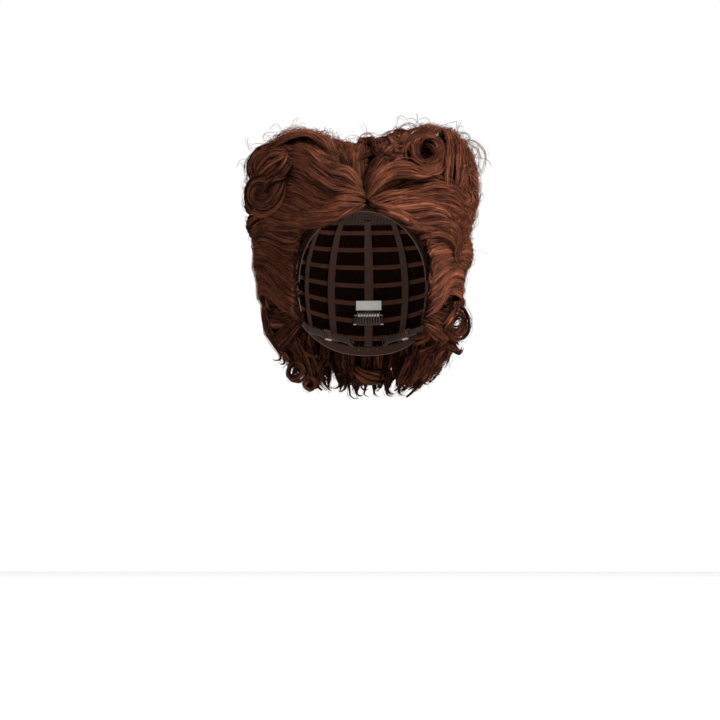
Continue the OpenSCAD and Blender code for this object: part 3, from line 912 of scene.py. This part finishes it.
def hairline():
    """Short fine hairs at the edge of the face opening, brushed back with the rest."""
    b = Bundle()
    steps = 18
    s = even(steps)
    for sign in (-1, 1):
        for _ in range(190):
            el = uniform(-36, 30)
            edge = FACE_HALF_AZ * math.sqrt(max(0.02, 1 - (max(0.0, el - FACE_MID_EL) / FACE_HALF_EL) ** 2))
            reach, climb = uniform(8, 20), uniform(-3, 7)
            az = sign * (edge + uniform(-0.8, 1.5) + reach * s)
            track = direction(az, el + climb * np.sin(np.pi * 0.6 * s))
            line, _ = on_hair(np.column_stack([track, -5 + 7.5 * ease(s / 0.35) - 1.5 * s]))
            b.strand(line + wander(steps, 0.6), uniform(0.09, 0.16), rng.normal(0.3, 0.4))
    b.build("hairline", "temple_hair_left")


def curl_at(b, az, el, size=17):
    """A loose pin curl somewhere near a direction."""
    d = direction(az + uniform(-6, 6), el + uniform(-4, 4))
    size = size * uniform(0.85, 1.25)
    radii = (size, size * uniform(0.8, 1.1))
    swirl(b, surface(d, -6), radii, unit(d + rng.normal(0, 0.15, 3)), rng.choice([-1, 1]),
          hole=uniform(0.2, 0.45), bulge=uniform(5, 9), locks=21, width=4.6, strands=9, fray=0.25,
          drift=uniform(0.2, 0.5), tone=uniform(-0.1, 0.3))


def back_curls():
    """Loose pin curls over the back, on a coat of combed hair."""
    for name, lows, span in (("back_hair_upper", (58, 42), (28, 64)),
                             ("back_hair_middle", (24, 6), (-8, 30))):
        b = Bundle()
        # The coat under the curls is toned dark, painted shade.
        coat(b, (124, 236), span, 70, width=7, lift=-3, length=80, tone=-0.3, strands=14)
        for row, el in enumerate(lows):
            for k in range(5):
                curl_at(b, 132 + 96 * (k + 0.5 * (row % 2)) / 4.5, el)
        b.build(name)


def side_backs():
    """Pin curls over the hair behind the ears and over the backs of the rolls."""
    for sign, name in ((-1, "right"), (1, "left")):
        b = Bundle()
        span = tuple(sorted((sign * 92, sign * 130)))
        # The coat under the curls is toned dark, painted shade.
        coat(b, span, (-36, 18), 70, width=6, lift=-4, tone=-0.4, strands=16)
        for az, el in ((112, 8), (100, -8), (120, -14), (104, -28), (124, -36)):
            curl_at(b, sign * az, el, 14)
        b.build("side_back_" + name)
        b = Bundle()
        for az, el in ((97, 60), (116, 52), (98, 36), (114, 30)):
            curl_at(b, sign * az, el, 17)
        b.build("roll_backs_" + name, "top_roll_" + name, "side_roll_" + name)


def cap_edge(az, rise, lift):
    """A point a little over the cap's lower edge, and the level directions out of and along the edge."""
    start = surface(direction(az, LOW_EL + rise), lift)
    out = unit(np.array([start[0], start[1] - 20.0, 0.0]))
    return start, out, np.array([-out[1], out[0], 0.0])


def hang(b, az, lift, drop, ring, width, **more):
    """A lock that hangs from the lower edge of the cap and curls round at its end."""
    start, out, side = cap_edge(az, 3, lift)
    side = side * rng.choice([-1, 1])
    away = unit(out * uniform(0.2, 1.0) + side * uniform(0.2, 1.0))
    down = np.array([0.0, 0.0, -1.0])
    sway = uniform(-4, 7)
    stem = [start + down * drop * t + side * sway * math.sin(3.0 * t) + out * 3 * math.sin(2.5 * t)
            for t in (0.0, 0.3, 0.6, 0.85)]
    bend = np.radians(np.linspace(15, uniform(30, 150), 6))[:, None]
    hub = stem[-1] + away * ring
    coil = hub - away * ring * np.cos(bend) + down * ring * np.sin(bend)
    coil = coil + side * np.linspace(0, 3, 6)[:, None]
    steps = 24
    curve = smooth(np.vstack([stem, coil]), steps)
    facing = out if lift > -22 else -out
    turned = 0.6 * ease((np.arange(steps) - steps / 2) / 6)[:, None]
    normals = unit(facing + turned * unit(curve - hub))
    # dip=-0.3 paints the curled tip lighter, taking back the painted shade that Bundle.lock gives a lock's
    # tip.
    b.lock(curve, normals, width * uniform(0.6, 1.3), 1.8, root=0.6, tip=0.15, fray=0.3, dip=-0.3, **more)


def drape(b, az, lift, drop, width, **more):
    """A wide flat lock that hangs straight from the lower edge of the cap and frays at its end."""
    start, out, side = cap_edge(az, 5, lift)
    s = even(14)[:, None]
    bow = uniform(-3, 3) * np.sin(np.pi * s) + uniform(-5, 5) * s ** 2
    line = start + np.array([0.0, 0.0, -drop]) * s + side * bow + out * (4 * np.sin(2.6 * s) - 7 * s ** 3)
    b.lock(line, unit(out + side * rng.normal(0, 0.25)), width, 2.4, root=0.8, tip=0.35, fray=0.35, **more)


# The tresses that hang at each side of the neck: how far behind the crown seat, and the way they fall.
NAPE_SIDES = [
    (20, [(50, -164), (62, -160), (74, -152), (84, -142), (91, -130), (95, -116)]),
    (24, [(54, -157), (66, -155), (78, -147), (87, -137), (93, -124), (97, -108)]),
    (48, [(56, -160), (52, -178), (45, -191), (38, -202), (33, -209)]),
    (68, [(60, -158), (54, -178), (46, -194), (38, -205), (30, -212)]),
    (42, [(63, -160), (62, -178), (57, -192), (50, -203), (45, -210)]),
    (66, [(68, -158), (66, -178), (60, -194), (54, -204), (50, -211)]),
    (36, [(71, -157), (73, -174), (70, -186), (65, -196), (58, -204)]),
    (54, [(77, -154), (78, -172), (75, -186), (69, -196), (64, -203)]),
    (30, [(79, -151), (83, -165), (81, -177), (77, -184), (74, -190)]),
    (44, [(86, -138), (88, -154), (87, -168), (84, -178), (79, -187)]),
    (20, [(-100, -100), (-106, -116), (-105, -134), (-100, -152), (-91, -170), (-82, -184)]),
    (34, [(-96, -104), (-101, -122), (-99, -140), (-94, -158), (-86, -174), (-78, -188)]),
    (46, [(-90, -112), (-95, -132), (-92, -152), (-85, -170), (-77, -186)]),
    (26, [(-80, -140), (-78, -158), (-72, -174), (-65, -189), (-59, -202)]),
    (40, [(-86, -132), (-84, -152), (-79, -170), (-73, -186), (-68, -199)]),
    (58, [(-80, -140), (-75, -158), (-68, -176), (-60, -192), (-55, -206)]),
    (50, [(-72, -146), (-66, -164), (-60, -180), (-54, -194), (-50, -206)]),
    (70, [(-66, -150), (-62, -168), (-56, -184), (-50, -198), (-44, -209)]),
]


def nape_rows(b, way, rows, count, reach, shrink, trim, size, **more):
    """Rows of locks hung round the nape, higher and shorter towards the ears."""
    for lift, drop, tone in rows:
        for k in range(count):
            az = 180 - reach + 2 * reach * (k + uniform(0, 1)) / count
            far = float(ease((abs(az - 180) - 25) / 70))
            way(b, az, lift * (1 - shrink[0] * far), drop * (1 - shrink[1] * far) * uniform(*trim),
                uniform(*size), tone=tone, **more)


def nape():
    """The hair that hangs at the nape: a veil, curled ends, side tresses, and the two loose curls."""
    b = Bundle()
    # Each row's tone is painted darker the deeper it hangs, as shade under the rows over it.
    nape_rows(b, drape, ((-30, 40, -0.4), (-24, 44, -0.3), (-17, 47, -0.2), (-10, 46, -0.1)), 34, 78,
              (0.4, 0.6), (0.7, 0.92), (7, 11), strands=12)
    b.build("nape_veil", "nape_hair")
    b = Bundle()
    coat(b, (124, 236), (-22, 0), 50, width=7, lift=-3, length=36, tone=-0.3, strands=14)
    nape_rows(b, hang, ((-36, 38, -0.5), (-29, 43, -0.4), (-20, 46, -0.2), (-11, 46, -0.1), (-3, 44, 0.0)),
              30, 68, (0.5, 0.68), (0.82, 1.02), (2.5, 5), width=4.6, strands=10)
    b.build("nape_fringe", "nape_hair")
    b = Bundle()
    # The tresses on the wearer's right are toned darker than on the left, painted shade of the side away from
    # the key light.
    for depth, path in NAPE_SIDES:
        tress(b, flat_path(path, depth), 6, 4.0, width=4, strands=14, loose=1.6, flare=0.3, fray=0.4, dip=0.0,
              tone=-0.3 if path[0][0] < 0 else -0.1)
    b.build("nape_sides", "nape_hair")
    b = Bundle()
    for az, el in ((140, -16), (162, -20), (184, -14), (206, -20), (226, -16), (150, -34), (175, -36),
                   (200, -34)):
        curl_at(b, az, el, 15)
    b.build("nape_curls", "nape_hair")
    b = Bundle()
    for centre, radii, tilt, count in (((98, 24, -142), (12, 18), 8, 5), ((94, 26, -139), (11, 13), 30, 4),
                                       ((97, 22, -148), (9, 12), -20, 4), ((100, 25, -150), (12, 13), 0, 2)):
        swirl(b, np.array(centre, float), radii, [0.15, -1.0, 0.1], 1, hole=0.8, bulge=1.5, locks=count,
              width=2.4, deep=1, arc=(200, 330), tilt=tilt, dark=0.3, strands=14, fray=0.35)
    b.build("loop_curl_left")
    b = Bundle()
    low = [(78, 36, -158), (84, 30, -165), (91, 26, -171), (98, 24, -175), (101, 24, -173)]
    high = [(80, 34, -150), (86, 30, -157), (92, 27, -163), (96, 26, -168)]
    for path, count in ((low, 12), (high, 6)):
        for _ in range(count):
            scatter = rng.normal(0, 1.1, (len(path), 3)) + rng.normal(0, 1.4, 3)
            b.lock(smooth(path + scatter, 22), UP, 3.5, 2.6, strands=12, fray=0.2)
    b.build("flick_curl_left")


def lower_curls():
    """Small loose curls behind and below the ears."""
    right = ((-101, -117, 6), (-99, -149, 7), (-72, -195, 10), (-60, -206, 6), (-84, -149, 7), (-78, -163, 7))
    left = ((95, -120, 8), (84, -126, 8))
    # The right curls are toned darker than the left, painted shade of the side away from the key light.
    for name, curls, depth, tone in (("right", right, 28, -0.2), ("left", left, 34, 0.0)):
        b = Bundle()
        for x, z, r in curls:
            centre = np.array([x, depth + uniform(-6, 10), z])
            facing = unit([x * 0.004, -1, uniform(-0.3, 0.3)])
            swirl(b, centre, (r * uniform(0.9, 1.1), r), facing, rng.choice([-1, 1]), hole=0.5, bulge=3,
                  locks=11, width=3.0, deep=2, strands=12, fray=0.25, tone=tone)
        b.build("lower_curls_" + name, "side_back_" + name)


def under_hair():
    """The mass of fibre under the locks, a closed shell from the wefts out."""
    # The shell is toned near black, painted shade deep inside the hair.
    turns, rise, sunk, least, shade = 180, 44, 11.0, 2.0, -1.6
    az = np.linspace(-180, 180, turns, endpoint=False)
    low = np.where(np.abs(az) < FACE_HALF_AZ, face_el(az), LOW_EL)
    el = low[None] + (89.5 - low[None]) * even(rise)[:, None]
    d = direction(np.broadcast_to(az, el.shape), el)
    inner = head_radius(d) + HAIR_FLOOR
    wall = np.maximum(hair_radius(d) - sunk - well_depth(d), inner + least)
    verts = np.vstack([(CENTRE + r[..., None] * d).reshape(-1, 3) for r in (wall, inner)])
    ring = np.arange(turns)
    after = (ring + 1) % turns
    k = rise * turns
    sides = tube_faces(rise, turns, 0)
    faces = np.vstack([sides, k + sides[:, [1, 0, 3, 2]], np.stack([after, ring, k + ring, k + after], 1),
                       end_ring(k - turns, turns, -1), end_ring(2 * k - turns, turns, 1)])
    run = np.degrees(np.arctan2(verts[:, 0], verts[:, 1])) * 1.75
    uv = np.stack([run, verts[:, 2]], 1)
    piece = make_mesh("under_hair", verts, faces, uv, np.full(len(verts), shade), LOCK_LOOK)
    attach(piece, BODY)
    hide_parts("crown_hair", "nape_hair")


def wisp(b, x, z, length, rise):
    """A few fine hairs that bow out of the outline at (x, z) and fall back."""
    steps = 22
    root, d = hair_point(x, z, -2)
    flow = unit(np.cross(d, rng.normal(0, 1, 3)) + [0, 0, 0.3])
    s = even(steps)[:, None]
    bend = unit(np.cross(flow, d)) * uniform(-6, 6)
    base = root + flow * length * s + d * rise * np.sin(np.pi * s) + bend * np.sin(np.pi * s) ** 2
    for _ in range(3):
        line = base + rng.normal(0, 1.2, 3) + wander(steps, 0.9, 0.8)
        b.strand(line, uniform(0.09, 0.15), rng.normal(0.8, 0.3))


def loose_loops():
    """Hairs that stand up out of the outline, in wisps, rings and bows."""
    b = Bundle()
    spots = ((-4, 41), (6, 42), (14, 44), (22, 47), (30, 50), (40, 54), (52, 56), (64, 58), (76, 56),
             (88, 52), (98, 46), (106, 40), (112, 32), (-60, 58), (-80, 56), (-100, 44), (-112, 34),
             (-118, 20), (-120, 0))
    for x, z in spots:
        for _ in range(2 if x < -20 else 4):
            wisp(b, x + rng.normal(0, 4), z + rng.normal(0, 2), uniform(14, 32), uniform(3, 9))
        root, d = hair_point(x, z, -1)
        loop(b, root + rng.normal(0, 2, 3), unit(d + np.array([0, 0, 0.6])), uniform(4, 7))
    for path in ([(100, 44), (112, 46), (122, 40), (128, 28), (125, 13), (116, 4)],
                 [(102, 40), (110, 43), (119, 36), (122, 24), (118, 11), (110, 6)],
                 [(98, 48), (103, 54), (109, 52), (110, 45), (104, 40)],
                 [(40, 50), (37, 58), (43, 64), (52, 64), (57, 57), (54, 50)],
                 [(16, 44), (22, 54), (32, 58), (43, 54)], [(-10, 38), (-3, 52), (6, 55), (12, 47)]):
        curve, _ = flat_path(path, -8.0, 30)
        for _ in range(9):
            ring = curve + rng.normal(0, 0.7, 3) + wander(len(curve), 1.3, 0.9)
            b.strand(ring, uniform(0.10, 0.17), rng.normal(0.4, 0.3))
    fly_away(b)
    # One stiff stray hair, bent square above the crown.
    corners = [(46, 0, 56), (71, 0, 62), (98, 0, 69), (98, 0, 51)]
    line = np.concatenate([np.linspace(corners[k], corners[k + 1], 12, endpoint=k == 2) for k in range(3)])
    b.strand(line + wander(len(line), 0.4), 0.26, 0.1)
    b.build("loose_hairs", "top_roll_left")


def fly_away(b):
    """Fine single hairs that leave the surface all over."""
    steps = 16
    for _ in range(230):
        az, el = uniform(-180, 180), uniform(-35, 88)
        if abs(az) < 62 and el < float(face_el(min(abs(az), 57.4))) + 8:
            continue
        d = direction(az, el)
        flow = unit(combed(d[None])[0] + rng.normal(0, 0.5, 3))
        s = even(steps)[:, None]
        reach, rise = uniform(14, 34), uniform(2, 7)
        line = surface(d, -1) + flow * reach * s + d * (rise * np.sin(np.pi * 0.7 * s))
        b.strand(line + wander(steps, 1.2, 1.0), uniform(0.06, 0.11), rng.normal(0.2, 0.3))


# ---- finishes of the cap and its fittings
# A wave texture of scale 1 repeats at this many metres.
WAVE_PERIOD = 0.314


def woven(name, dark, light, pitch, rough=0.85, depth=0.0003, axes=("X", "Z")):
    """A plain weave of threads that cross the two axes, pitch apart in millimetres."""
    mat = new_material(name)
    waves = []
    for axis in axes:
        wave = add(mat, "TexWave", {"Vector": place(mat), "Scale": WAVE_PERIOD / (pitch * MM),
                                    "Distortion": 0.4})
        wave.bands_direction = axis
        waves.append(wave.outputs["Fac"])
    weave = combine(mat, "MULTIPLY", *waves)
    return shaded(mat, {"Base Color": ramp(mat, weave, [(0.0, dark), (1.0, light)]),
                        "Normal": relief(mat, weave, 0.6, depth), "Roughness": rough,
                        "Specular IOR Level": 0.15})


def brushed(name, low, high, metal, rough):
    """A moulded or coated surface with a fine grain."""
    mat = new_material(name)
    grain = noise(mat, {"Vector": place(mat), "Scale": 700.0, "Detail": 4.0})
    return shaded(mat, {"Base Color": ramp(mat, grain, [(0.3, low), (0.7, high)]),
                        "Normal": relief(mat, grain, 0.15, 0.0001), "Metallic": metal, "Roughness": rough})


def cap_finishes():
    """Gives the CAD's own solids their materials, by the starts of their names."""
    for starts, material in (
            ("crown_net", woven("cap_net", (0.012, 0.007, 0.005), (0.075, 0.045, 0.036), 1.6, depth=0.0006,
                                axes=("X", "Y"))),
            (("front_band", "nape_band", "cap_ribbons", "ear_tab"),
             woven("cap_tape", (0.022, 0.010, 0.007), (0.085, 0.042, 0.029), 0.9)),
            ("weft_row", woven("weft_seam", (0.018, 0.006, 0.004), (0.12, 0.040, 0.022), 1.1)),
            ("nape_strap", woven("elastic", (0.020, 0.012, 0.010), (0.10, 0.065, 0.052), 0.7)),
            ("hook_loops", woven("thread", (0.02, 0.01, 0.008), (0.09, 0.05, 0.04), 0.5)),
            ("size_label", woven("label_satin", (0.55, 0.53, 0.49), (0.84, 0.82, 0.78), 0.45, rough=0.5)),
            ("tab_stay", brushed("nylon_stay", (0.62, 0.60, 0.56), (0.78, 0.76, 0.72), 0.0, 0.35)),
            ("strap_slider", brushed("slider_plastic", (0.05, 0.028, 0.02), (0.075, 0.042, 0.03), 0.0, 0.3)),
            (("clip_frame", "clip_comb", "strap_hook"),
             brushed("coated_steel", (0.10, 0.085, 0.075), (0.20, 0.175, 0.155), 0.85, 0.38)),
            ("clip_sleeve", brushed("silicone", (0.42, 0.36, 0.30), (0.50, 0.44, 0.38), 0.0, 0.45))):
        for name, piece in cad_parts.items():
            if name.startswith(starts):
                for slot in piece.material_slots:
                    slot.material = material


# ---- the studio
def floor():
    """A wide sheet of white paper under the wig."""
    corners = np.array([[x * FLOOR_REACH, y * FLOOR_REACH, FLOOR_Z]
                        for x, y in ((-1, -1), (1, -1), (1, 1), (-1, 1))])
    mat = new_material("floor_paper")
    paper = (0.86, 0.86, 0.855)
    tint = ramp(mat, noise(mat, {"Scale": 3.0}), [(0.0, tuple(0.985 * c for c in paper)), (1.0, paper)])
    shaded(mat, {"Base Color": tint, "Roughness": 0.9})
    make_mesh("floor", corners, np.array([[0, 1, 2, 3]]), corners[:, :2] / FLOOR_REACH,
                       np.zeros(4), mat)


def studio():
    """An even white world, a key light, a fill light and a rim light."""
    world = bpy.data.worlds.new("studio")
    bpy.context.scene.world = world
    world.use_nodes = True
    world.node_tree.nodes["Background"].inputs["Color"].default_value = (1.0, 1.0, 1.0, 1)
    world.node_tree.nodes["Background"].inputs["Strength"].default_value = 1.0
    for name, where, width, power in (("key", (1100, -900, 900), 500, 118),
                                      ("fill", (-1300, -900, 300), 900, 10),
                                      ("rim", (-300, 1300, 900), 900, 24)):
        light = bpy.data.lights.new(name, "AREA")
        light.size, light.energy = width * MM, power
        ob = bpy.data.objects.new(name, light)
        ob.location = Vector(where) * MM
        aim = Vector((0, 0, -0.1)) - ob.location
        ob.rotation_euler = aim.to_track_quat("-Z", "Y").to_euler()
        bpy.context.scene.collection.objects.link(ob)


def camera():
    """The picture's point of view: a little to one side, and below the wig."""
    data = bpy.data.cameras.new("camera")
    data.lens, data.sensor_width, data.shift_x = LENS, SENSOR, LENS_SHIFT
    ob = bpy.data.objects.new("camera", data)
    ob.location = Vector(EYE) * MM
    ob.rotation_euler = Vector(AHEAD).to_track_quat("-Z", "Y").to_euler()
    bpy.context.scene.collection.objects.link(ob)
    bpy.context.scene.camera = ob
    bpy.context.scene.view_settings.view_transform = "Standard"


# The order matters, because every piece draws from the same random numbers.
camera()
floor()
studio()
cap_finishes()
under_hair()
front_right()
front_left()
crown()
top_rolls()
side_rolls()
side_sheets()
hairline()
back_curls()
side_backs()
nape()
lower_curls()
loose_loops()
